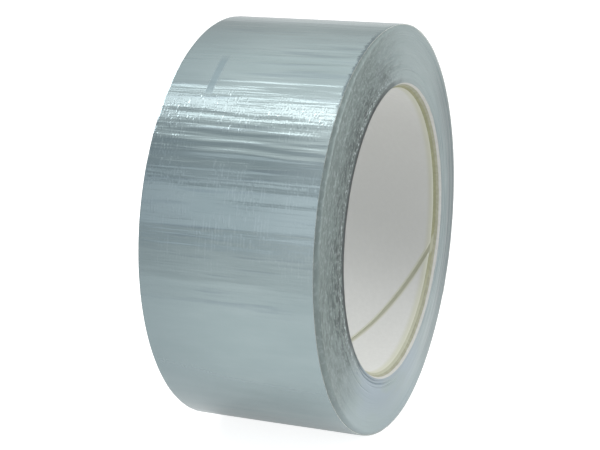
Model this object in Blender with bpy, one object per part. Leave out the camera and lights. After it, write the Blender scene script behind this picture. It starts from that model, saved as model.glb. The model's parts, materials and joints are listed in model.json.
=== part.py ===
"""Duct tape roll: a spiral-wound paper core, the wound tape and a free end that peels off.

The roll's axis is world X, its near side faces +X, and it stands on its rim on the -Z side.
The origin is the centre of the bore, midway across the width. Metres, +Z up.
Every ring is faceted alike, so that neighbouring plies lie parallel with a thin glue line.
"""

import math

import bmesh
import bpy

# Driving dimensions of the roll.
ROLL_R = 0.0550
BORE_R = 0.0381
CORE_R = 0.0396
SIDE_X = 0.02455
TAPE_WIDTH = 0.0480
TELESCOPE = 2 * SIDE_X - TAPE_WIDTH
GLUE_LINE = 0.00002

# Facets: each one is tangent to the true circle, and one lies flat under the roll.
FACETS = 72
FACET_ANGLE = 2 * math.pi / FACETS
HALF_FACET = FACET_ANGLE / 2

# The core's plies from the bore outwards: name, thickness, colour.
LINER_THICKNESS = 0.00018
CORE_PLIES = (
    ("core_liner", LINER_THICKNESS, (0.78, 0.77, 0.73)),
    ("core_kraft_ply", 0.00045, (0.42, 0.38, 0.26)),
    ("core_board_ply", 0.00042, (0.66, 0.64, 0.58)),
    ("core_outer_ply", 0.00039, (0.74, 0.73, 0.68)),
)
MOUTH_DEPTH = 0.0024  # how far the cut end of the core leans in at the bore

# The butt seam of the liner, a helix along the bore.
SEAM_WIDTH = 0.0008
SEAM_PITCH = 0.1057
SEAM_START_ANGLE = math.radians(-96.3)
SEAM_STEPS = 30

# The tape: a polyethylene film on scrim cloth set in adhesive.
FILM_THICKNESS = 0.00008
ADHESIVE_THICKNESS = 0.00010
RIM_BEVEL_X = 0.0008
RIM_BEVEL_R = 0.0005
SHOULDER_START_R = 0.0450  # the flat land of the near side ends here
SHOULDER_END_R = 0.0500  # and the flat land of the far side starts here

# The free end of the tape, in short stiff lengths joined by hinges.
TAIL_SEGMENTS = 7
TAIL_FACETS_EACH = 3
TAIL_ROOT_ANGLE = math.radians(72.5)
TAIL_GAP = 0.0003
TAIL_SEGMENT_ANGLE = TAIL_FACETS_EACH * FACET_ANGLE
TAIL_END_ANGLE = TAIL_ROOT_ANGLE - TAIL_SEGMENTS * TAIL_SEGMENT_ANGLE

FILM_COLOUR = (0.42, 0.48, 0.50)
WOUND_COLOUR = (0.32, 0.36, 0.36)
ADHESIVE_COLOUR = (0.55, 0.56, 0.52)


def clear_scene():
    for thing in list(bpy.data.objects):
        bpy.data.objects.remove(thing, do_unlink=True)


def material(name, colour, roughness, metallic=0.0):
    made = bpy.data.materials.new(name)
    made.use_nodes = True
    shader = made.node_tree.nodes["Principled BSDF"]
    shader.inputs["Base Color"].default_value = (*colour, 1.0)
    shader.inputs["Roughness"].default_value = roughness
    shader.inputs["Metallic"].default_value = metallic
    return made


def facet_stretch(angle):
    """How far outside its tangent circle a facet lies at this angle about X."""
    offset = (angle + HALF_FACET) % FACET_ANGLE - HALF_FACET
    return 1 / math.cos(offset)


def point_at(x, r, angle):
    """A point on the faceted ring of radius r; the angle runs from +Y towards +Z."""
    reach = r * facet_stretch(angle)
    return (x, reach * math.cos(angle), reach * math.sin(angle))


def facet_corners(first, last):
    """The angles of the facet corners that lie strictly between two angles."""
    corners = (HALF_FACET + i * FACET_ANGLE for i in range(-FACETS, 2 * FACETS))
    return [a for a in corners if first + 1e-6 < a < last - 1e-6]


def solid_of_revolution(name, profile, finish, first=None, last=None):
    """Sweeps a closed (x, r) profile about X, all the way round or from first to last."""
    whole = first is None
    if whole:
        angles = [HALF_FACET + i * FACET_ANGLE for i in range(FACETS)]
    else:
        angles = [first, *facet_corners(first, last), last]
    mesh = bmesh.new()
    loops = [[mesh.verts.new(point_at(x, r, a)) for x, r in profile] for a in angles]
    if whole:
        loops.append(loops[0])
    skin(mesh, loops, capped=not whole)
    return add_object(name, mesh, finish)


def skin(mesh, loops, capped):
    """Closes the surface between successive loops of points, and over the ends if capped."""
    for here, there in zip(loops, loops[1:]):
        for i in range(len(here)):
            j = (i + 1) % len(here)
            mesh.faces.new((here[i], here[j], there[j], there[i]))
    if capped:
        mesh.faces.new(loops[0])
        mesh.faces.new(loops[-1])
    bmesh.ops.recalc_face_normals(mesh, faces=mesh.faces)


def add_object(name, mesh, finish):
    data = bpy.data.meshes.new(name)
    mesh.to_mesh(data)
    mesh.free()
    data.shade_smooth()
    data.set_sharp_from_angle(angle=math.radians(20))
    if finish:
        data.materials.append(finish)
    made = bpy.data.objects.new(name, data)
    bpy.context.scene.collection.objects.link(made)
    return made


def mouth_x(r):
    """Where the core's leaning end lies at radius r."""
    lean = (CORE_R - r) / (CORE_R - BORE_R)
    return SIDE_X - MOUTH_DEPTH * lean


def far_mouth_x(r):
    """The far end of the core leans in the same way, behind the recessed inner turns."""
    return -mouth_x(r) + TELESCOPE


def core():
    """The paper tube: four plies glued one round the other, the inner one with its seam."""
    inner = BORE_R
    for name, thickness, colour in CORE_PLIES:
        outer = inner + thickness
        profile = [
            (far_mouth_x(inner), inner),
            (far_mouth_x(outer), outer),
            (mouth_x(outer), outer),
            (mouth_x(inner), inner),
        ]
        ply = solid_of_revolution(name, profile, material(name, colour, 0.85))
        if name == "core_liner":
            cut_seam(ply)
        inner = outer + GLUE_LINE


def cut_seam(liner):
    """Parts the liner along a helix, where the edges of its paper strip meet."""
    helix_slope = SEAM_PITCH / (2 * math.pi * BORE_R)
    half_width = SEAM_WIDTH / 2 * math.hypot(1, helix_slope)
    reach = SIDE_X + 2 * SEAM_WIDTH
    low = BORE_R - LINER_THICKNESS
    high = BORE_R + 2 * LINER_THICKNESS
    section = ((-half_width, low), (-half_width, high), (half_width, high), (half_width, low))
    mesh = bmesh.new()
    loops = []
    for i in range(SEAM_STEPS + 1):
        x = reach * (2 * i / SEAM_STEPS - 1)
        angle = SEAM_START_ANGLE + 2 * math.pi * x / SEAM_PITCH
        c, s = math.cos(angle), math.sin(angle)
        loops.append([mesh.verts.new((x + dx, r * c, r * s)) for dx, r in section])
    skin(mesh, loops, capped=True)
    cutter = add_object("seam_cutter", mesh, None)
    cutter.hide_render = True
    cutter.display_type = "WIRE"
    cut = liner.modifiers.new("seam", "BOOLEAN")
    cut.operation = "DIFFERENCE"
    cut.object = cutter


def wound_shift(r):
    """How far the turns at radius r have crept along the axis from the middle."""
    share = (r - SHOULDER_START_R) / (SHOULDER_END_R - SHOULDER_START_R)
    share = min(max(share, 0.0), 1.0)
    return TELESCOPE * (0.5 - share)


def tape_windings(outer_r):
    """The pack of turns on the core. Its sides are flat lands joined by a shallow slope."""
    inner_r = CORE_R + GLUE_LINE
    bevel_r = outer_r - RIM_BEVEL_R
    steps = [inner_r, SHOULDER_START_R, SHOULDER_END_R, bevel_r]
    near = [(TAPE_WIDTH / 2 + wound_shift(r), r) for r in steps]
    far = [(-TAPE_WIDTH / 2 + wound_shift(r), r) for r in steps]
    near_rim = (near[-1][0] - RIM_BEVEL_X, outer_r)
    far_rim = (far[-1][0] + RIM_BEVEL_X, outer_r)
    profile = [*near, near_rim, far_rim, *reversed(far)]
    solid_of_revolution("tape_windings", profile, material("wound_tape", WOUND_COLOUR, 0.5))
    return near_rim[0], far_rim[0]


def strip(name, near_x, far_x, inner_r, thickness, finish, first, last):
    """A length of one layer of the tape, curved round the roll."""
    outer_r = inner_r + thickness
    profile = [(far_x, inner_r), (far_x, outer_r), (near_x, outer_r), (near_x, inner_r)]
    return solid_of_revolution(name, profile, finish, first, last)


def tail_hinge(number, parent):
    """An empty on the hinge line of one length of the free end, at the film's face."""
    angle = TAIL_ROOT_ANGLE - number * TAIL_SEGMENT_ANGLE
    made = bpy.data.objects.new(f"tail_hinge_{number + 1}", None)
    bpy.context.scene.collection.objects.link(made)
    made.location = point_at(0.0, ROLL_R, angle)
    if parent:
        hang(made, parent)
    return made


def hang(child, parent):
    """Parents an object without moving it."""
    bpy.context.view_layer.update()
    child.parent = parent
    child.matrix_parent_inverse = parent.matrix_world.inverted()


def outer_tape():
    """The last turn and the free end, each as its film over its adhesive-coated scrim."""
    film_r = ROLL_R - FILM_THICKNESS
    adhesive_r = film_r - GLUE_LINE - ADHESIVE_THICKNESS
    near_x, far_x = tape_windings(adhesive_r - GLUE_LINE)
    film = material("tape_film", FILM_COLOUR, 0.3, 0.6)
    adhesive = material("tape_adhesive", ADHESIVE_COLOUR, 0.7)
    layers = (
        ("film", film_r, FILM_THICKNESS, film),
        ("adhesive", adhesive_r, ADHESIVE_THICKNESS, adhesive),
    )
    half_gap = TAIL_GAP / 2 / ROLL_R
    for layer, inner_r, thickness, finish in layers:
        first = TAIL_ROOT_ANGLE + half_gap
        last = TAIL_END_ANGLE + 2 * math.pi - half_gap
        strip(f"last_turn_{layer}", near_x, far_x, inner_r, thickness, finish, first, last)
    hinge = None
    for number in range(TAIL_SEGMENTS):
        hinge = tail_hinge(number, hinge)
        last = TAIL_ROOT_ANGLE - number * TAIL_SEGMENT_ANGLE - half_gap
        first = last - TAIL_SEGMENT_ANGLE + 2 * half_gap
        for layer, inner_r, thickness, finish in layers:
            name = f"tail_{layer}_{number + 1}"
            piece = strip(name, near_x, far_x, inner_r, thickness, finish, first, last)
            hang(piece, hinge)


def main():
    clear_scene()
    core()
    outer_tape()


main()
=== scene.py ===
"""The looks of the duct tape roll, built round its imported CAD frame.

The roll's axis is X. Angles about it run from +Y (the back) towards +Z (the top).
Lengths are in metres; the relief of films and layers is given in millimetres, as MM times a number.
"""

import json
import math

import bpy
import numpy as np
from mathutils import Matrix, Vector


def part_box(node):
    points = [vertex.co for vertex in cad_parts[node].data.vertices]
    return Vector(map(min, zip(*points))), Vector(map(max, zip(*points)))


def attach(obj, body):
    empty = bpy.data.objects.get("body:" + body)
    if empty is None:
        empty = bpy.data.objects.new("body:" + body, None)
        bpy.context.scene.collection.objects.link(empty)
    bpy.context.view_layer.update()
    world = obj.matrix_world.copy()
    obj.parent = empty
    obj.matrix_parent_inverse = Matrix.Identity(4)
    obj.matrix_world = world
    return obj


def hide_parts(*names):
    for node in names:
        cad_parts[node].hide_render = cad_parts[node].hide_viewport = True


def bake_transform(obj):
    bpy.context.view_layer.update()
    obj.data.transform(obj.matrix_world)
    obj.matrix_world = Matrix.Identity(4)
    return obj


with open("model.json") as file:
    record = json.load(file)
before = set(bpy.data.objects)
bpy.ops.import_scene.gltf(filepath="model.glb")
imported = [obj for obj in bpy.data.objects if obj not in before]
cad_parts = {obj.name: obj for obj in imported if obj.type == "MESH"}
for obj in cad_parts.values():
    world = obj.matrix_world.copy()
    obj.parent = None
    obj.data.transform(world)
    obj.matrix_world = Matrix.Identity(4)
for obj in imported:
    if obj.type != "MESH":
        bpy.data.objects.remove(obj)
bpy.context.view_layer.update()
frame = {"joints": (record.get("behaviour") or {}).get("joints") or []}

MM = 0.001
TAU = 2 * math.pi

# Sizes read from the frame.
ROLL_R = -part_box("last_turn_film")[0].z
FILM_FAR_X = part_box("last_turn_film")[0].x - 0.30 * MM  # the last turn has crept this way
FILM_NEAR_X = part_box("last_turn_film")[1].x - 0.20 * MM
WOUND_FAR_X, WOUND_NEAR_X = (corner.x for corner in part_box("tape_windings"))
CORE_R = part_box("core_outer_ply")[1].z
LINER_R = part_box("core_liner")[1].z
TAIL_HINGES = [j for j in frame["joints"] if j["child"].startswith("tail_")]

# Sizes of the real tape, which the frame holds only as solids.
TAPE_WIDTH = 48.0 * MM
TAPE_T = 0.20 * MM
FILM_T = 0.08 * MM
LINER_T = 0.18 * MM
GLUE_LINE = 0.02 * MM
BORE_R = LINER_R - LINER_T
TELESCOPE = (WOUND_NEAR_X - WOUND_FAR_X) - TAPE_WIDTH


def hinge_angle(joint):
    return math.atan2(joint["pos_m"][2], joint["pos_m"][1])


ROOT_ANGLE = hinge_angle(TAIL_HINGES[0])
SEGMENT_ANGLE = ROOT_ANGLE - hinge_angle(TAIL_HINGES[1])
TIP_ANGLE = ROOT_ANGLE - len(TAIL_HINGES) * SEGMENT_ANGLE


# ---------------------------------------------------------------- noise in plain numpy


def hashed(n, seed):
    """A repeatable number from 0 to 1 for each whole number."""
    value = np.sin(np.asarray(n, float) * 127.1 + seed * 311.7) * 43758.5453
    return value - np.floor(value)


def smooth_noise(t, period, seed):
    """Smooth one-dimensional noise from -1 to 1 that repeats after period whole steps."""
    cell = np.floor(t)
    part = t - cell
    part = part * part * (3 - 2 * part)
    a = hashed(np.mod(cell, period), seed)
    b = hashed(np.mod(cell + 1, period), seed)
    return 2 * (a + (b - a) * part) - 1


def grid_noise(u, v, period, seed):
    """Smooth two-dimensional noise from -1 to 1 that repeats along u."""
    row = np.floor(v)
    part = v - row
    part = part * part * (3 - 2 * part)

    def along(r):
        cell = np.floor(u)
        step = u - cell
        step = step * step * (3 - 2 * step)
        a = hashed(np.mod(cell, period) + 57.0 * r, seed)
        b = hashed(np.mod(cell + 1, period) + 57.0 * r, seed)
        return a + (b - a) * step

    low, high = along(row), along(row + 1)
    return 2 * (low + (high - low) * part) - 1


def smoothstep(low, high, value):
    t = np.clip((value - low) / (high - low), 0, 1)
    return t * t * (3 - 2 * t)


# ---------------------------------------------------------------- meshes


def ring_point(x, r, angle):
    return np.stack(np.broadcast_arrays(x, r * np.cos(angle), r * np.sin(angle)), axis=-1)


def loft(name, loops, closed, finish, sharp=40):
    """Skins an array of loops (count, points, 3) into a closed solid, capped if not closed."""
    count, width = loops.shape[:2]
    index = np.arange(count * width).reshape(count, width)
    here = index if closed else index[:-1]
    there = np.roll(index, -1, axis=0) if closed else index[1:]
    quads = np.stack([here, np.roll(here, -1, 1), np.roll(there, -1, 1), there], axis=-1)
    faces = quads.reshape(-1, 4).tolist()
    if not closed:
        faces.append(index[0][::-1].tolist())
        faces.append(index[-1].tolist())
    mesh = bpy.data.meshes.new(name)
    mesh.from_pydata(loops.reshape(-1, 3).tolist(), [], faces)
    mesh.update()
    if signed_volume(mesh) < 0:
        mesh.flip_normals()
    mesh.shade_smooth()
    mesh.set_sharp_from_angle(angle=math.radians(sharp))
    piece = bpy.data.objects.new(name, mesh)
    bpy.context.scene.collection.objects.link(piece)
    mesh.materials.append(finish)
    return piece


def signed_volume(mesh):
    """Six times the volume, negative where the faces look inwards."""
    mesh.calc_loop_triangles()
    corners = np.zeros(len(mesh.loop_triangles) * 3, np.int32)
    mesh.loop_triangles.foreach_get("vertices", corners)
    points = np.zeros(len(mesh.vertices) * 3)
    mesh.vertices.foreach_get("co", points)
    a, b, c = points.reshape(-1, 3)[corners.reshape(-1, 3)].transpose(1, 0, 2)
    return float(np.einsum("ij,ij->i", a, np.cross(b, c)).sum())


# ---------------------------------------------------------------- where the marks of use are


def angle_from_front(degrees):
    """An angle about the axis, given from the front (-Y) upwards."""
    return math.pi - math.radians(degrees)


WARP_SPACING = 0.85 * MM  # of the threads that run round the roll
WEFT_SPACING = 1.4 * MM  # of the threads that run across the tape

# The middles of the stretches of the roll's side that look different: painted sheen, painted shade,
# the torn stretch, darker partly as painted shade, and a smoother stretch with painted sheen.
PAINTED_SHEEN_ANGLE = math.radians(75)
SIDE_SHADE_ANGLE = math.radians(140)
TORN_SHADED_ANGLE = math.radians(158)
SMOOTH_SHEEN_ANGLE = math.radians(262)  # the turns are rubbed smooth here, and painted sheen lightens them

# The middles of the stretches of the film.
EDGE_MARKS_ANGLE = math.radians(118)  # its near edge has dark notch-shaped marks here
STRETCHED_ANGLE = angle_from_front(38)  # it was pulled tight here
PRESSED_ANGLE = angle_from_front(25)  # the threads press through here
NOTCH_DEPTH = 3.0 * MM  # of the noise that shapes the dark marks at the edge
CREASE_X = -12.7 * MM
CREASE_HALF_WIDTH = 1.1 * MM
CREASE_ANGLE = angle_from_front(54)
CREASE_HALF_ANGLE = math.radians(7.5)
WRAP = "wrap"  # the mesh attribute that holds each point's angle on the roll

# The bore: the liner's seam, the glue beside it and at the mouth, and the stretches of the paper:
# painted shade on the liner, and fuzz on the kraft ply.
SEAM_PITCH = 105.7 * MM
SEAM_ANGLE = math.radians(-96.3)
SEAM_WIDTH = 1.1 * MM
SEAM_EDGE = math.cos(0.040)  # about half the seam's width, as an angle about the axis
STAIN_EDGE = math.cos(0.085)  # glue has spread this far beside the seam
STAIN_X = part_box("core_liner")[1].x - 1.0 * MM  # glue has crept this far in from the mouth
BORE_SHADE_ANGLE = math.radians(5)  # the liner is darkened here as painted shade
FUZZY_ANGLE = math.radians(275)  # fuzz hides the kraft ply here


# ---------------------------------------------------------------- materials


class Nodes:
    """A material under construction: makes nodes and links them in one call."""

    def __init__(self, name):
        self.material = bpy.data.materials.new(name)
        self.material.use_nodes = True
        self.tree = self.material.node_tree
        self.shader = self.tree.nodes["Principled BSDF"]

    def add(self, kind, settings=None, **inputs):
        node = self.tree.nodes.new("ShaderNode" + kind)
        for key, value in (settings or {}).items():
            setattr(node, key, value)
        for key, value in inputs.items():
            self.feed(node, key, value)
        return node

    def feed(self, node, key, value):
        """Sets or links an input, given by its name, or by its number after an i."""
        numbered = key[0] == "i" and key[1:].isdigit()
        socket = node.inputs[int(key[1:])] if numbered else node.inputs[key]
        if isinstance(value, bpy.types.NodeSocket):
            self.tree.links.new(value, socket)
        else:
            socket.default_value = value

    def math(self, operation, a, b=0.0):
        return self.add("Math", {"operation": operation}, i0=a, i1=b).outputs[0]

    def plus(self, a, b):
        return self.math("ADD", a, b)

    def minus(self, a, b):
        return self.math("SUBTRACT", a, b)

    def times(self, a, b):
        return self.math("MULTIPLY", a, b)

    def ramp(self, value, low, high):
        """0 below low, 1 above high, smooth between."""
        node = self.add("MapRange", {"interpolation_type": "SMOOTHSTEP"}, Value=value)
        node.inputs["From Min"].default_value = low
        node.inputs["From Max"].default_value = high
        return node.outputs[0]

    def fall(self, value, low, high):
        """1 below low, 0 above high."""
        return self.minus(1.0, self.ramp(value, low, high))

    def near(self, angle, middle, low, high):
        """1 near the middle angle. Low and high are cosines of how far an angle is from it."""
        return self.ramp(self.math("COSINE", self.minus(angle, middle)), low, high)

    def mix(self, share, a, b):
        node = self.add("Mix", {"data_type": "RGBA"}, i0=share, i6=a, i7=b)
        return node.outputs[2]

    def tint(self, tone, where, amount, other):
        """The tone, moved by the amount towards the other one where the mask is 1."""
        return self.mix(self.times(where, amount), tone, other)

    def noise(self, vector, scale, detail=2.0, roughness=0.5):
        settings = {"Vector": vector, "Scale": scale, "Detail": detail, "Roughness": roughness}
        return self.add("TexNoise", None, **settings).outputs[0]

    def place(self):
        """The point in the roll's frame, and its x, radius and angle about the axis."""
        point = self.add("TexCoord").outputs["Object"]
        x, y, z = self.add("SeparateXYZ", None, Vector=point).outputs
        radius = self.math("SQRT", self.plus(self.times(y, y), self.times(z, z)))
        return point, x, radius, self.math("ARCTAN2", z, y)

    def place_on_tape(self):
        """x, and the angle that this part of the tape has on the roll and keeps when peeled."""
        split = self.add("SeparateXYZ", None, Vector=self.add("TexCoord").outputs["Object"])
        return split.outputs[0], self.add("Attribute", {"attribute_name": WRAP}).outputs["Fac"]

    def around(self, across, angle, per_radian):
        """A noise vector without a seam: across one way, and round the roll the other."""
        c, s = self.math("COSINE", angle), self.math("SINE", angle)
        y, z = self.times(c, per_radian), self.times(s, per_radian)
        return self.add("CombineXYZ", None, X=across, Y=y, Z=z).outputs[0]

    def streaks(self, across, per_metre, angle, per_radian, detail, roughness=0.5):
        """Noise by its number of steps per metre across and per radian round the roll."""
        way = self.around(self.times(across, per_metre), angle, per_radian)
        return self.noise(way, 1.0, detail, roughness)

    def bump(self, height, distance, strength=1.0, normal=None):
        node = self.add("Bump", None, Height=height, Distance=distance, Strength=strength)
        if normal is not None:
            self.feed(node, "Normal", normal)
        return node.outputs[0]

    def shade(self, **inputs):
        for key, value in inputs.items():
            self.feed(self.shader, key.replace("_", " "), value)
        return self.material


def colour(r, g, b):
    return (r, g, b, 1.0)


def film_material():
    """Silver polyethylene film: satin, with the scrim's threads printing through in patches, and
    with painted light and shade.
    """
    n = Nodes("tape_film")
    x, angle = n.place_on_tape()

    # The threads that run round the roll print through as beads, where the film is pressed on them;
    # their lighter colour is painted glints.
    thread = n.math("SINE", n.times(x, TAU / WARP_SPACING))
    beads = n.streaks(x, 1150.0, angle, 26.0, 2.0, 0.4)
    patches = n.streaks(x, 70.0, angle, 5.0, 3.0, 0.6)
    pressed = n.near(angle, PRESSED_ANGLE, 0.88, 0.96)
    print_and_glints = n.times(n.ramp(patches, 0.40, 0.58), n.ramp(beads, 0.42, 0.62))
    print_and_glints = n.times(print_and_glints, n.plus(0.5, n.times(thread, 0.5)))
    print_and_glints = n.times(print_and_glints, n.plus(0.1, n.times(pressed, 0.9)))

    # Fine lines lie across the tape, mostly where it was pulled tight, darkened as painted shade.
    stretched = n.math("COSINE", n.minus(angle, STRETCHED_ANGLE))
    stretched = n.ramp(n.plus(stretched, n.times(patches, 0.5)), 0.75, 1.1)
    lines = n.streaks(x, 32.0, angle, 36.0, 2.0, 0.6)
    lines = n.times(n.minus(lines, 0.5), n.plus(0.15, stretched))

    # A short crease, dull and darkened as painted shade, and a stretch of the near edge with dark
    # notch-shaped marks.
    off_crease = n.math("DIVIDE", n.minus(x, CREASE_X), CREASE_HALF_WIDTH)
    off_middle = n.math("DIVIDE", n.minus(angle, CREASE_ANGLE), CREASE_HALF_ANGLE)
    off = n.math("MAXIMUM", n.math("ABSOLUTE", off_crease), n.math("ABSOLUTE", off_middle))
    crease_dull_and_shade = n.fall(off, 0.6, 1.15)
    notches = n.noise(n.around(0.0, angle, 55.0), 1.0, 3.0, 0.7)
    edge_marks = n.plus(x, n.times(n.minus(notches, 0.5), NOTCH_DEPTH))
    edge_marks = n.ramp(edge_marks, FILM_NEAR_X - 0.5 * MM, FILM_NEAR_X)
    edge_marks = n.times(edge_marks, n.near(angle, EDGE_MARKS_ANGLE, 0.93, 0.98))

    mottle = n.streaks(x, 40.0, angle, 9.0, 5.0, 0.6)
    # Painted shade: the film darkens towards its far end.
    far_end_shade = n.fall(x, FILM_FAR_X - 4 * MM, 4 * MM)
    # Painted light: the front of the film lightens towards its near end.
    near_end_light = n.times(n.ramp(x, 2 * MM, 22 * MM), pressed)
    tone = n.mix(n.ramp(mottle, 0.3, 0.7), colour(0.325, 0.405, 0.415), colour(0.36, 0.44, 0.45))
    # Painted shade along the fine lines.
    tone = n.tint(tone, n.ramp(lines, 0.04, 0.22), 0.6, colour(0.25, 0.315, 0.345))
    # Painted glints: the threads' print-through is lighter.
    tone = n.tint(tone, print_and_glints, 0.38, colour(0.47, 0.56, 0.58))
    tone = n.tint(tone, far_end_shade, 0.6, colour(0.21, 0.27, 0.29))
    tone = n.tint(tone, near_end_light, 0.5, colour(0.48, 0.57, 0.58))
    # Painted shade in the crease, which is also rougher.
    tone = n.tint(tone, crease_dull_and_shade, 0.75, colour(0.20, 0.265, 0.29))
    # Darker in notch-shaped marks along a stretch of the near edge.
    tone = n.tint(tone, edge_marks, 0.8, colour(0.13, 0.165, 0.18))

    grain = n.streaks(x, 200.0, angle, 120.0, 4.0, 0.6)
    bumps = n.bump(print_and_glints, 0.05 * MM)
    bumps = n.bump(lines, 0.12 * MM, 1.0, bumps)
    bumps = n.bump(grain, 0.008 * MM, 1.0, bumps)
    roughness = n.plus(0.15, n.times(mottle, 0.12))
    roughness = n.plus(roughness, n.times(n.math("MAXIMUM", crease_dull_and_shade, edge_marks), 0.25))
    return n.shade(
        Base_Color=tone,
        Roughness=roughness,
        Metallic=0.7,
        Specular_IOR_Level=0.5,
        Coat_Weight=0.2,
        Coat_Roughness=0.12,
        Normal=bumps,
    )


def smooth_edges(n, radius, angle, outward):
    """The colour of the turns' edges where they lie smooth, with painted sheen near the top and
    bottom and painted shade on the outer turns at the back.
    """
    broad = n.streaks(radius, 500.0, angle, 3.0, 3.0)
    cast = n.streaks(radius, 170.0, angle, 2.6, 2.0)
    # Painted shade on the outer turns at the back.
    back_shade = n.times(outward, n.ramp(n.math("COSINE", angle), 0.3, 1.0))
    # Painted sheen near the top.
    painted_sheen = n.near(angle, PAINTED_SHEEN_ANGLE, 0.75, 1.0)
    # Painted sheen near the bottom, lighter still on the outer turns.
    below = n.near(angle, SMOOTH_SHEEN_ANGLE, 0.70, 0.97)
    sheen_tone = n.mix(n.ramp(cast, 0.40, 0.60), colour(0.26, 0.32, 0.325), colour(0.26, 0.32, 0.365))
    sheen_tone = n.tint(sheen_tone, outward, 0.7, colour(0.32, 0.39, 0.40))
    tone = n.mix(n.ramp(broad, 0.35, 0.65), colour(0.195, 0.245, 0.25), colour(0.245, 0.295, 0.30))
    tone = n.tint(tone, back_shade, 0.75, colour(0.145, 0.175, 0.18))
    tone = n.tint(tone, painted_sheen, 0.6, colour(0.28, 0.34, 0.34))
    return n.tint(tone, below, 0.9, sheen_tone)


def torn_edges(n, radius, angle, outward, blotches, flecks):
    """The colour of torn edges: dark, partly as painted shade, with pale flecks, most of them by
    the core; lighter as painted light on the outer turns and at the rim.
    """
    # Painted shade: darker still round this angle.
    dark = n.near(angle, SIDE_SHADE_ANGLE, 0.6, 1.0)
    by_core = n.fall(radius, CORE_R + 2.6 * MM, CORE_R + 4.0 * MM)
    by_core = n.times(by_core, n.ramp(radius, CORE_R + 1.2 * MM, CORE_R + 1.6 * MM))
    flecked = n.times(n.plus(0.3, n.times(by_core, 0.6)), n.ramp(flecks, 0.53, 0.63))
    rim = n.ramp(radius, ROLL_R - 1.3 * MM, ROLL_R - 0.7 * MM)
    blotchy = n.ramp(blotches, 0.40, 0.60)
    tone = n.mix(blotchy, colour(0.05, 0.065, 0.063), colour(0.145, 0.18, 0.17))
    tone = n.tint(tone, dark, 0.35, colour(0.06, 0.075, 0.073))
    # Painted light on the outer turns, where the shoulder faces the light.
    tone = n.tint(tone, outward, 0.5, colour(0.19, 0.235, 0.225))
    tone = n.mix(flecked, tone, colour(0.34, 0.38, 0.38))
    # Painted light at the rim.
    return n.tint(tone, rim, 0.35, colour(0.28, 0.335, 0.33))


def wound_material():
    """The cut edges of the turns: satin grey, but rough and flecked where they tore, and darker
    there partly as painted shade; painted sheen and shade elsewhere.
    """
    n = Nodes("wound_edges")
    radius, angle = n.place()[2:]
    # The outer turns, over the shoulder; they carry painted light and shade.
    outward = n.ramp(radius, 43 * MM, 51 * MM)
    border = n.streaks(radius, 300.0, angle, 6.0, 3.0)
    # Where the edges tore: rougher, and darker partly as painted shade.
    torn = n.plus(n.math("COSINE", n.minus(angle, TORN_SHADED_ANGLE)), n.times(border, 0.35))
    torn = n.ramp(torn, 0.35, 1.0)
    blotches = n.streaks(radius, 1100.0, angle, 15.0, 3.0, 0.55)
    flecks = n.streaks(radius, 2000.0, angle, 45.0, 2.0, 0.5)
    smooth = smooth_edges(n, radius, angle, outward)
    tone = n.mix(torn, smooth, torn_edges(n, radius, angle, outward, blotches, flecks))
    # Painted shade on the turns' lip next to the core, deepest where they tore.
    lip_shade = n.fall(radius, CORE_R + 0.9 * MM, CORE_R + 1.7 * MM)
    lip_shade = n.times(lip_shade, n.plus(0.12, n.times(torn, 0.8)))
    tone = n.mix(lip_shade, tone, colour(0.035, 0.043, 0.043))
    depth = n.plus(0.1, n.times(torn, 0.9))
    bumps = n.bump(n.times(flecks, depth), 0.05 * MM)
    bumps = n.bump(n.times(blotches, depth), 0.08 * MM, 1.0, bumps)
    roughness = n.plus(0.30, n.times(torn, 0.25))
    return n.shade(Base_Color=tone, Roughness=roughness, Metallic=0.35, Normal=bumps)


def adhesive_material():
    """Rubber adhesive with the scrim's threads showing through it as a pale grid."""
    n = Nodes("tape_adhesive")
    x, angle = n.place_on_tape()
    warp = n.math("ABSOLUTE", n.math("SINE", n.times(x, TAU / 2 / WARP_SPACING)))
    weft = n.math("ABSOLUTE", n.math("SINE", n.times(angle, TAU / 2 / WEFT_SPACING * ROLL_R)))
    threads = n.math("MAXIMUM", n.ramp(warp, 0.86, 0.99), n.ramp(weft, 0.90, 0.99))
    blotch = n.streaks(x, 120.0, angle, 14.0, 4.0)
    tone = n.mix(n.ramp(blotch, 0.3, 0.7), colour(0.47, 0.47, 0.42), colour(0.56, 0.56, 0.51))
    tone = n.tint(tone, threads, 0.6, colour(0.74, 0.74, 0.70))
    bumps = n.bump(threads, 0.03 * MM)
    bumps = n.bump(blotch, 0.05 * MM, 0.6, bumps)
    roughness = n.plus(0.35, n.times(blotch, 0.3))
    return n.shade(Base_Color=tone, Roughness=roughness, Normal=bumps)


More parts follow.
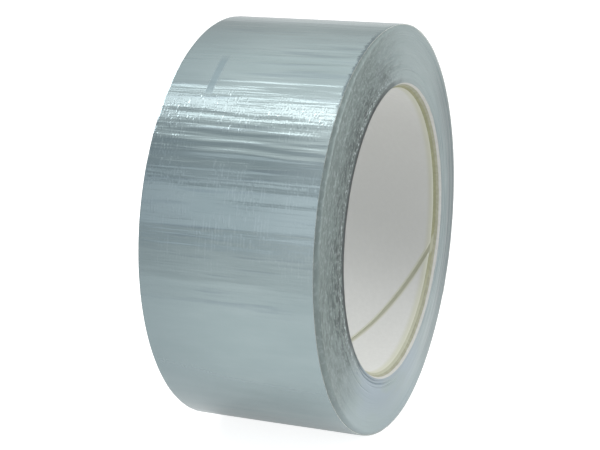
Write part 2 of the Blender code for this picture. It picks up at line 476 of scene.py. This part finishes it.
def paper_material(name, pale, dark, fibre_depth, glue=None, fuzz=None):
    """Wound paper: fibres along the core's helix, blotches, a stain of glue, fuzz, and painted
    shade in the bore.
    """
    n = Nodes(name)
    point, x, radius, angle = n.place()
    along = n.plus(n.times(x, 900.0), n.times(angle, 9.0))
    fibres = n.noise(n.around(along, angle, 30.0), 1.0, 5.0, 0.65)
    blotch = n.noise(point, 90.0, 4.0)
    tone = n.mix(n.ramp(fibres, 0.3, 0.75), dark, pale)
    tone = n.tint(tone, n.ramp(blotch, 0.35, 0.7), 0.25, dark)
    if glue:
        helix = n.minus(angle, n.times(x, TAU / SEAM_PITCH))
        by_seam = n.near(helix, SEAM_ANGLE, STAIN_EDGE, SEAM_EDGE)
        inside = n.math("LESS_THAN", radius, LINER_R)
        by_mouth = n.times(n.ramp(x, STAIN_X - 1.2 * MM, STAIN_X + 0.6 * MM), inside)
        # Painted shade on the bore's wall round this angle.
        grey = n.times(n.near(angle, BORE_SHADE_ANGLE, 0.5, 1.0), inside)
        tone = n.tint(tone, grey, 0.5, colour(0.53, 0.53, 0.51))
        tone = n.tint(tone, n.math("MAXIMUM", by_seam, by_mouth), 0.75, glue)
    if fuzz:
        tone = n.tint(tone, n.near(angle, FUZZY_ANGLE, 0.35, 0.95), 0.6, fuzz)
    bumps = n.bump(fibres, fibre_depth, 0.7)
    roughness = n.plus(0.72, n.times(blotch, 0.2))
    return n.shade(Base_Color=tone, Roughness=roughness, Normal=bumps)


def floor_material():
    """A pale floor, lit from within so that it looks white.

    It lights the roll less from under it and from far off, but to the camera it looks the same
    all over.
    """
    n = Nodes("studio_floor")
    point = n.add("TexCoord").outputs["Object"]
    faint = n.noise(point, 3.0, 3.0)
    tone = n.mix(faint, colour(0.43, 0.43, 0.43), colour(0.46, 0.46, 0.46))
    away = n.add("VectorMath", {"operation": "LENGTH"}, i0=point).outputs["Value"]
    glow = n.plus(0.32, n.times(n.ramp(away, 0.01, 0.06), 0.24))
    glow = n.minus(glow, n.times(n.ramp(away, 0.08, 0.30), 0.29))
    seen = n.add("LightPath").outputs["Is Camera Ray"]
    glow = n.plus(glow, n.times(seen, n.minus(0.86, glow)))
    return n.shade(
        Base_Color=tone,
        Roughness=0.9,
        Specular_IOR_Level=0.1,
        Emission_Color=colour(1.0, 1.0, 1.0),
        Emission_Strength=glow,
    )


FILM = film_material()
WOUND = wound_material()
ADHESIVE = adhesive_material()
LINER_PAPER = paper_material(
    "core_liner_paper",
    colour(0.67, 0.67, 0.65),
    colour(0.635, 0.635, 0.615),
    0.02 * MM,
    glue=colour(0.53, 0.53, 0.42),
)
KRAFT = paper_material(
    "core_kraft",
    colour(0.32, 0.32, 0.20),
    colour(0.26, 0.26, 0.16),
    0.03 * MM,
    glue=colour(0.42, 0.42, 0.33),
    fuzz=colour(0.52, 0.52, 0.43),
)
BOARD = paper_material(
    "core_board", colour(0.38, 0.38, 0.29), colour(0.30, 0.30, 0.22), 0.03 * MM
)
OUTER_PAPER = paper_material(
    "core_outer_paper", colour(0.56, 0.555, 0.53), colour(0.50, 0.495, 0.47), 0.03 * MM
)


# ---------------------------------------------------------------- the paper core


def mouth_line():
    """How far along x the core's leaning end lies, as a straight line in the radius."""
    outer_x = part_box("core_outer_ply")[1].x
    inner_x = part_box("core_liner")[1].x
    slope = (outer_x - inner_x) / (CORE_R - LINER_R)
    return lambda r: outer_x + (r - CORE_R) * slope


near_mouth = mouth_line()


def far_mouth(r):
    return TELESCOPE - near_mouth(r)


CORE_STEPS = 288
CORE_ANGLES = np.arange(CORE_STEPS) * TAU / CORE_STEPS
CUT_INSET = 0.06 * MM  # of the plies' cut ends, which leaves room for their fuzz
FINE_FUZZ = 0.05 * MM
COARSE_FUZZ = 0.06 * MM
LINER_ROWS = 40
LINER_CURL = 0.05 * MM  # how far its edges lift at the seam
LINER_COCKLE = 0.015 * MM
SEAM_WANDER = 0.12 * MM


def core_ply(name, node, inner_r, finish, seed):
    """One ply of the core as a full ring, its cut ends leaning in and slightly fuzzy."""
    outer_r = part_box(node)[1].z
    radii = np.linspace(inner_r, outer_r, 4)
    angle = CORE_ANGLES[:, None]
    fuzz = FINE_FUZZ * grid_noise(angle / TAU * 96, radii[None] / (0.15 * MM), 96, seed)
    fuzz += COARSE_FUZZ * grid_noise(angle / TAU * 24, radii[None] / (0.4 * MM), 24, seed + 1)
    near_x = near_mouth(radii)[None] + fuzz - CUT_INSET
    far_x = far_mouth(radii)[None] + fuzz + CUT_INSET
    x = np.concatenate([near_x, far_x[:, ::-1]], axis=1)
    r = np.concatenate([radii, radii[::-1]])[None]
    piece = loft(name, ring_point(x, r, angle), True, finish)
    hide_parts(node)
    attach(piece, "roll")
    return piece


def liner():
    """The white inner ply: a strip bent round the bore, its edges meeting along a helix."""
    gap = SEAM_WIDTH / 2 / BORE_R / math.sin(math.atan(SEAM_PITCH / (TAU * BORE_R)))
    inner_x = np.linspace(near_mouth(BORE_R), far_mouth(BORE_R), LINER_ROWS)
    outer_x = np.linspace(far_mouth(LINER_R), near_mouth(LINER_R), LINER_ROWS)
    x = np.concatenate([inner_x, outer_x])
    wander = SEAM_WANDER / BORE_R * smooth_noise(x / (5 * MM), 1000, 5)
    start = SEAM_ANGLE + TAU * x / SEAM_PITCH + wander
    loops = []
    for share in np.linspace(0, 1, CORE_STEPS + 1):
        from_seam = min(share, 1 - share) * TAU * BORE_R / MM
        curl = LINER_CURL * math.exp(-from_seam / 0.8)
        inner_r = BORE_R - curl + LINER_COCKLE * grid_noise(share * 60, x / (6 * MM), 60, 3)
        r = np.where(np.arange(x.size) < LINER_ROWS, inner_r, LINER_R)
        loops.append(ring_point(x, r, start + gap + share * (TAU - 2 * gap)))
    piece = loft("core_liner_sheet", np.array(loops), False, LINER_PAPER)
    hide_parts("core_liner")
    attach(piece, "roll")


def core():
    """The paper tube, from the bore outwards."""
    liner()
    inner = LINER_R + GLUE_LINE
    plies = (
        ("core_kraft_ring", "core_kraft_ply", KRAFT, "core_kraft"),
        ("core_board_ring", "core_board_ply", BOARD, "core_board"),
        ("core_outer_ring", "core_outer_ply", OUTER_PAPER, "core_outer_paper"),
    )
    for seed, (name, node, finish, slot) in enumerate(plies):
        piece = core_ply(name, node, inner, finish, 10 * seed)
        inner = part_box(node)[1].z + GLUE_LINE


# ---------------------------------------------------------------- the spiral of the tape

SPIRAL_TOP = ROLL_R + 0.14 * MM  # the free end's outer face; the tape sinks a layer in each turn
TIP_TO_ROOT = ROOT_ANGLE - TIP_ANGLE
NEAR_CREEP = 1.15 * MM


def spiral_r(turned):
    """The film's outer radius, by how far the tape has turned since its free end."""
    return SPIRAL_TOP - TAPE_T * turned / TAU


def near_edge_x(angle):
    """Where the outer turns' near edge lies: it has crept back at the front of the roll."""
    return FILM_NEAR_X + NEAR_CREEP * smoothstep(-0.9, 0.3, np.cos(angle))


# ---------------------------------------------------------------- the wound turns

SIDE_STEPS = 288
SHOULDER_LOW = 43.0 * MM
SHOULDER_HIGH = 52.0 * MM
RIM_DEPTH = 1.1 * MM  # the outermost turns step back over this much of the radius
PACK_GAP = 0.05 * MM  # between the pack and the last turn
TURN_GROOVE = 0.018 * MM  # between two turns' edges
TURN_STRAY = 0.018 * MM  # how far any turn may stand out
ODD_STRAY = 0.05 * MM  # and how much further a few of them do
ODD_SHARE = 0.93  # the share of the turns that don't
BROAD_WOBBLE = 0.07 * MM
FINE_WOBBLE = 0.035 * MM
SIDE_INSET = 0.12 * MM
OUTER_CREEP = 0.35 * MM  # of the near side's outer turns


def turn_shift(r):
    """How far the turns at radius r have crept along x: the inner ones go to the near side."""
    return TELESCOPE * (0.5 - smoothstep(SHOULDER_LOW, SHOULDER_HIGH, r))


# Turns that lie deeper on a part of the way round.
# Each has its number, the middle and the half width of that part in degrees, and its depth in mm.
SUNKEN_TURNS = (
    (3, 236, 18, 0.26),
    (7, 246, 20, 0.28),
    (12, 256, 16, 0.20),
    (21, 225, 18, 0.14),
    (11, 62, 16, 0.10),
    (17, 74, 18, 0.14),
    (24, 86, 15, 0.14),
    (64, 75, 40, 0.08),
)


def unwrapped(angle, middle):
    """The difference of two angles, from -pi to pi."""
    return (angle - middle + math.pi) % TAU - math.pi


def wound_pack():
    """All the turns under the last one. Each turn's edge stands at its own place on both sides."""
    inner_r = CORE_R + GLUE_LINE
    turns = int((ROLL_R - 2 * TAPE_T - inner_r) / TAPE_T)
    rows = 2 * turns + 1
    turn = np.arange(rows) / 2
    angle = (np.arange(SIDE_STEPS) * TAU / SIDE_STEPS)[:, None]
    turned = (angle - ROOT_ANGLE) % TAU + TIP_TO_ROOT
    outer_r = spiral_r(turned) - TAPE_T - PACK_GAP
    radii = inner_r + (outer_r - inner_r) * np.linspace(0, 1, rows)[None]
    crown = (np.arange(rows) % 2)[None]
    number = np.floor(turn)
    odd = hashed(number, 22) > ODD_SHARE
    stray = TURN_STRAY * (2 * hashed(number, 21) - 1)
    stray = stray + ODD_STRAY * odd * (2 * hashed(number, 23) - 1)
    wobble = BROAD_WOBBLE * grid_noise(angle / TAU * 9, turn[None] * 0.25, 9, 24)
    wobble = wobble + FINE_WOBBLE * grid_noise(angle / TAU * 30, turn[None] * 0.7, 30, 25)
    calm = 1 - 0.7 * smoothstep(0.2, 0.9, np.cos(angle - SMOOTH_SHEEN_ANGLE))
    groove = TURN_GROOVE * (crown - 1) * calm
    relief = (stray[None] + wobble) * calm
    for at_turn, degrees, spread, deep in SUNKEN_TURNS:
        away = unwrapped(angle, math.radians(degrees)) / math.radians(spread)
        relief = relief - deep * MM * np.exp(-(away**4) - ((turn[None] - at_turn) / 0.8) ** 2)
    rim = np.clip((radii - (outer_r - RIM_DEPTH)) / RIM_DEPTH, 0, 1) ** 2.2
    shift = turn_shift(radii)
    near_creep = OUTER_CREEP * smoothstep(SHOULDER_LOW, SHOULDER_HIGH, radii) - SIDE_INSET
    near_x = TAPE_WIDTH / 2 + shift + relief + groove + near_creep
    near_x = near_x + rim * (near_edge_x(angle) - near_x)
    far_x = -TAPE_WIDTH / 2 + shift + relief - groove + SIDE_INSET
    far_x = far_x + rim * (FILM_FAR_X - far_x)
    x = np.concatenate([near_x, far_x[:, ::-1]], axis=1)
    r = np.concatenate([radii, radii[:, ::-1]], axis=1)
    piece = loft("wound_turns", ring_point(x, r, angle), True, WOUND, sharp=70)
    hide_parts("tape_windings")
    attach(piece, "roll")


# ---------------------------------------------------------------- the film and its wrinkles

# Where the wrinkles gather: degrees up from the front, half width in degrees, depth.
WRINKLE_ZONES = (
    (34, 9, 1.0),
    (62, 12, 0.6),
    (5, 22, 0.35),
    (120, 30, 0.7),
    (-70, 25, 0.4),
    (-150, 30, 0.8),
)

# Single long wrinkles: degrees up from the front, slope across the tape in radians, half width and
# height in mm, and where they start and end, from -1 at the far edge to 1 at the near one.
LONG_WRINKLES = (
    (74.0, 0.004, 0.7, 0.050, -0.9, 0.4),
    (69.5, -0.004, 0.7, 0.060, -0.2, 1.2),
    (66.0, -0.006, 0.7, 0.070, -0.2, 1.2),
    (62.5, 0.004, 0.8, 0.090, -0.4, 1.2),
    (59.0, -0.004, 0.7, 0.090, -0.3, 1.2),
    (56.0, -0.008, 0.8, 0.090, -0.1, 1.2),
    (52.6, -0.006, 0.7, 0.080, -0.6, 1.2),
    (50.4, -0.010, 0.8, 0.080, -1.2, 0.3),
    (45.2, -0.010, 0.6, 0.040, -0.5, 1.2),
    (41.6, 0.010, 0.7, 0.110, -1.2, 0.8),
    (39.0, -0.006, 0.8, 0.070, -1.2, 1.0),
    (36.2, 0.004, 0.8, 0.085, -1.0, 0.9),
    (33.1, 0.012, 0.8, 0.120, -1.2, 1.2),
    (30.3, 0.008, 0.7, 0.110, -0.8, 1.2),
    (26.4, 0.006, 0.8, 0.060, -1.2, 0.5),
    (21.0, 0.000, 0.9, 0.090, -1.0, 1.2),
    (17.0, -0.004, 0.8, 0.100, -0.3, 1.2),
    (11.5, 0.000, 1.0, 0.070, -0.6, 1.2),
    (5.0, 0.004, 0.9, 0.060, -1.2, 0.8),
    (-3.0, -0.004, 1.0, 0.080, -1.2, 0.6),
    (-9.0, 0.004, 1.0, 0.060, -1.2, -0.1),
    (-36.0, 0.000, 2.2, 0.050, -0.5, 1.2),
    (-41.0, 0.004, 2.0, 0.040, -0.3, 1.0),
)


# The film's relief all round: how many steps each kind has round the roll, and heights in mm.
BROAD_STEPS = 130
BROAD_HEIGHT = 0.055
FINE_STEPS = 300
FINE_HEIGHT = 0.016
WAVE_STEPS = 14
WAVE_HEIGHT = 0.05
BETWEEN_ZONES = 0.12  # the share of the broad and fine relief that lies outside the zones
CREASE_DEPTH = 0.012


def film_relief(x, angle):
    """How far the film stands off its true radius: long wrinkles across the tape, and dents."""
    across = x / (FILM_NEAR_X - FILM_FAR_X) * 2
    drift = angle + 0.02 * smooth_noise(across * 1.5, 1000, 31) + 0.012 * across
    zone = np.zeros_like(drift) + BETWEEN_ZONES
    for degrees, spread, depth in WRINKLE_ZONES:
        away = unwrapped(angle, angle_from_front(degrees)) / math.radians(spread)
        zone = zone + depth * np.exp(-away * away)
    broad = grid_noise(drift / TAU * BROAD_STEPS, across * 1.1 + 5, BROAD_STEPS, 32)
    fine = grid_noise(drift / TAU * FINE_STEPS, across * 1.7 + 9, FINE_STEPS, 33)
    height = zone * (BROAD_HEIGHT * broad + FINE_HEIGHT * fine)
    for degrees, slope, width, tall, begin, end in LONG_WRINKLES:
        bend = 0.006 * smooth_noise(across * 2, 999, degrees)
        middle = angle_from_front(degrees) + slope * across + bend
        away = unwrapped(angle, middle) * ROLL_R / MM / width
        reach = smoothstep(begin, begin + 0.5, across) * (1 - smoothstep(end - 0.4, end, across))
        height = height + tall * reach * np.exp(-away * away)
    crease = np.exp(-(((x - CREASE_X) / CREASE_HALF_WIDTH) ** 2))
    crease = crease * np.exp(-((unwrapped(angle, CREASE_ANGLE) / CREASE_HALF_ANGLE) ** 4))
    height = height - CREASE_DEPTH * crease
    wave = WAVE_HEIGHT * grid_noise(angle / TAU * WAVE_STEPS, across * 0.6 + 3, WAVE_STEPS, 34)
    return MM * (height + wave)


FILM_COLUMNS = 49
CREASE_COLUMNS = 9


def film_columns():
    """Places across the tape, closer together at its edges and at the crease."""
    middle = np.linspace(FILM_FAR_X, FILM_NEAR_X, FILM_COLUMNS)
    close = np.linspace(CREASE_X - 1.5 * MM, CREASE_X + 1.5 * MM, CREASE_COLUMNS)
    edge = np.array([0.12, 0.3, 0.6]) * MM
    places = np.concatenate([middle, close, FILM_FAR_X + edge, FILM_NEAR_X - edge])
    return np.unique(np.round(places, 6))


FILM_X = film_columns()
EDGE_WIDTH = 0.6 * MM  # of the edges that bend down over the rim
EDGE_FALL = 0.07 * MM
END_TEAR = 0.35 * MM  # how ragged the torn free end is
END_LIFT = 0.20 * MM
END_LENGTH = 0.03  # the angle over which the free end lifts
LAYER_GAP = 0.01 * MM


def edge_fall(x):
    """How far the film's edges bend down over the rim."""
    near = np.clip((x - (FILM_NEAR_X - EDGE_WIDTH)) / EDGE_WIDTH, 0, 1)
    far = np.clip(((FILM_FAR_X + EDGE_WIDTH) - x) / EDGE_WIDTH, 0, 1)
    return EDGE_FALL * (near**2 + far**2)


def strip_loops(angles, turned, top, thick):
    """Loops across a length of one layer: its face, column by column, then its underside."""
    x = np.concatenate([FILM_X, FILM_X[[-1, 0]]])[None]
    by_end = np.exp(-turned[:, None] / END_LENGTH)
    angle = angles[:, None] + by_end * END_TEAR / ROLL_R * smooth_noise(x / (0.6 * MM), 1000, 41)
    sunk = top + thick * (np.arange(x.size) >= FILM_X.size) + edge_fall(x)
    r = spiral_r(turned[:, None]) - sunk + film_relief(x, angle) + END_LIFT * by_end
    creep = (near_edge_x(angle) - FILM_NEAR_X) * smoothstep(0, FILM_NEAR_X, x)
    return ring_point(x + creep, r, angle)


# The tape's layers: kind, its outer face's depth and its thickness, material, slot.
LAYERS = (
    ("film", 0.0, FILM_T, FILM, "tape_film"),
    ("adhesive", FILM_T + LAYER_GAP, TAPE_T - FILM_T - 2 * LAYER_GAP, ADHESIVE, "tape_adhesive"),
)


def layer(name, angles, turned, top, thick, finish):
    """A length of film, or of the adhesive-coated scrim under it."""
    loops = strip_loops(angles, turned, top, thick)
    piece = loft(name, loops, False, finish, sharp=50)
    wrap = piece.data.attributes.new(WRAP, "FLOAT", "POINT")
    wrap.data.foreach_set("value", np.repeat(angles, loops.shape[1]).astype(np.float32))
    return piece


LAST_TURN_STEPS = 1100
LAST_TURN_GAP = 0.004  # the angle between its two ends
LENGTH_STEPS = 49  # of each length of the free end


def last_turn():
    """The outermost full turn, from the free end's hinge right round and on under the free end."""
    turned = np.linspace(TIP_TO_ROOT, TIP_TO_ROOT + TAU - LAST_TURN_GAP, LAST_TURN_STEPS)
    angles = turned + TIP_ANGLE
    for kind, top, thick, finish, slot in LAYERS:
        piece = layer(f"last_turn_{kind}_sheet", angles, turned, top, thick, finish)
        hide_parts(f"last_turn_{kind}")
        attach(piece, "roll")


def free_end():
    """The free end, in lengths that each run from one hinge to the next."""
    for number, joint in enumerate(TAIL_HINGES, start=1):
        high = hinge_angle(joint)
        low = high - SEGMENT_ANGLE
        angles = np.linspace(high, low, LENGTH_STEPS)
        turned = angles - TIP_ANGLE
        start = ring_point(0.0, ROLL_R, np.array(high))
        end = ring_point(0.0, ROLL_R, np.array(low))
        for kind, top, thick, finish, slot in LAYERS:
            piece = layer(f"free_end_{kind}_{number}", angles, turned, top, thick, finish)
            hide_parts(f"tail_{kind}_{number}")
            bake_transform(piece)


# ---------------------------------------------------------------- the studio

FLOOR_SIZE = 12.0


def studio():
    """A plain pale floor and soft light. Each box has its place, its size and its watts."""
    bpy.ops.mesh.primitive_plane_add(size=FLOOR_SIZE, location=(0, 0, -ROLL_R))
    floor = bpy.context.object
    floor.name = "floor"
    floor.data.materials.append(floor_material())
    soft_box("key_light", overhead(76.2, 0.85), (0.9, 0.12), 0.88, along_roll=True)
    soft_box("overhead_light", overhead(116, 0.95), (1.0, 0.9), 0.6, along_roll=True)
    soft_box("front_fill", overhead(18, 0.95), (1.0, 0.40), 0.40, along_roll=True)
    soft_box("left_light", (-0.95, 0.10, 0.75), (0.45, 0.45), 4.8)
    soft_box("side_light", (1.0, 0.25, 0.3), (0.9, 0.7), 8.6)
    studio_air()


def overhead(degrees, reach):
    """A place above the roll and to its left, by its height in degrees up from the front."""
    turn = math.radians(degrees)
    return (-0.37 * reach, -0.93 * reach * math.cos(turn), 0.93 * reach * math.sin(turn))


def air_ramp(tree, height, stops):
    """A colour that depends on the height of the direction looked in."""
    ramp = tree.nodes.new("ShaderNodeValToRGB")
    tree.links.new(height, ramp.inputs[0])
    elements = ramp.color_ramp.elements
    while len(elements) < len(stops):
        elements.new(1.0)
    for element, (place, tone) in zip(elements, stops):
        element.position, element.color = place, tone
    return ramp.outputs[0]


# The room's own light, by the height of the direction looked in, from 0 (level) to 1 (straight up).
AIR_IN_FRONT = (
    (0.0, colour(0.56, 0.60, 0.65)),
    (0.30, colour(0.62, 0.66, 0.71)),
    (0.48, colour(0.59, 0.63, 0.67)),
    (0.60, colour(0.37, 0.40, 0.43)),
    (0.70, colour(0.44, 0.47, 0.49)),
    (0.80, colour(0.98, 0.99, 0.98)),
)
AIR_BEHIND = (
    (0.0, colour(0.76, 0.78, 0.78)),
    (0.24, colour(0.74, 0.76, 0.76)),
    (0.36, colour(0.50, 0.52, 0.51)),
    (0.60, colour(0.48, 0.50, 0.49)),
    (0.72, colour(0.58, 0.60, 0.59)),
    (0.83, colour(0.84, 0.86, 0.84)),
    (0.93, colour(0.98, 0.99, 0.98)),
)


def studio_air():
    """The room's own light. In front it is bluish, with a darker band well above eye level."""
    world = bpy.data.worlds.new("studio_air")
    bpy.context.scene.world = world
    world.use_nodes = True
    tree = world.node_tree
    way = tree.nodes.new("ShaderNodeTexCoord").outputs["Generated"]
    split = tree.nodes.new("ShaderNodeSeparateXYZ")
    tree.links.new(way, split.inputs[0])
    side = tree.nodes.new("ShaderNodeMapRange")
    tree.links.new(split.outputs[1], side.inputs["Value"])
    side.inputs["From Min"].default_value, side.inputs["From Max"].default_value = -0.15, 0.15
    blend = tree.nodes.new("ShaderNodeMix")
    blend.data_type = "RGBA"
    tree.links.new(side.outputs[0], blend.inputs[0])
    tree.links.new(air_ramp(tree, split.outputs[2], AIR_IN_FRONT), blend.inputs[6])
    tree.links.new(air_ramp(tree, split.outputs[2], AIR_BEHIND), blend.inputs[7])
    tree.links.new(blend.outputs[2], tree.nodes["Background"].inputs["Color"])


def soft_box(name, place, size, power, along_roll=False):
    """A rectangular light that faces the roll's middle, or its axis if it lies along the roll."""
    lamp = bpy.data.lights.new(name, "AREA")
    lamp.shape = "RECTANGLE"
    lamp.size, lamp.size_y = size
    lamp.energy = power
    holder = bpy.data.objects.new(name, lamp)
    bpy.context.scene.collection.objects.link(holder)
    holder.location = place
    back = Vector((0.0 if along_roll else place[0], place[1], place[2])).normalized()
    side = (Vector((1, 0, 0)) - back * back.x).normalized()
    holder.rotation_mode = "QUATERNION"
    holder.rotation_quaternion = Matrix((side, back.cross(side), back)).transposed().to_quaternion()


CAMERA_AT = (2.8641, -7.0728, 1.8395)  # in roll radii, from the middle of the far and near rims
CAMERA_FORWARD = (-0.37074, 0.89833, -0.23568)
CAMERA_LENS = 94.82
RIM_MIDDLE_X = -0.45 * MM


def camera():
    """The camera that looks at the roll from the front and a little above."""
    data = bpy.data.cameras.new("camera")
    data.lens = CAMERA_LENS
    data.sensor_width = 36.0
    data.clip_start = 0.01
    holder = bpy.data.objects.new("camera", data)
    bpy.context.scene.collection.objects.link(holder)
    holder.location = Vector(CAMERA_AT) * ROLL_R + Vector((RIM_MIDDLE_X, 0, 0))
    holder.rotation_mode = "QUATERNION"
    holder.rotation_quaternion = Vector(CAMERA_FORWARD).to_track_quat("-Z", "Y")
    bpy.context.scene.camera = holder


core()
wound_pack()
last_turn()
free_end()
studio()
camera()
bpy.context.scene.view_settings.view_transform = "Standard"
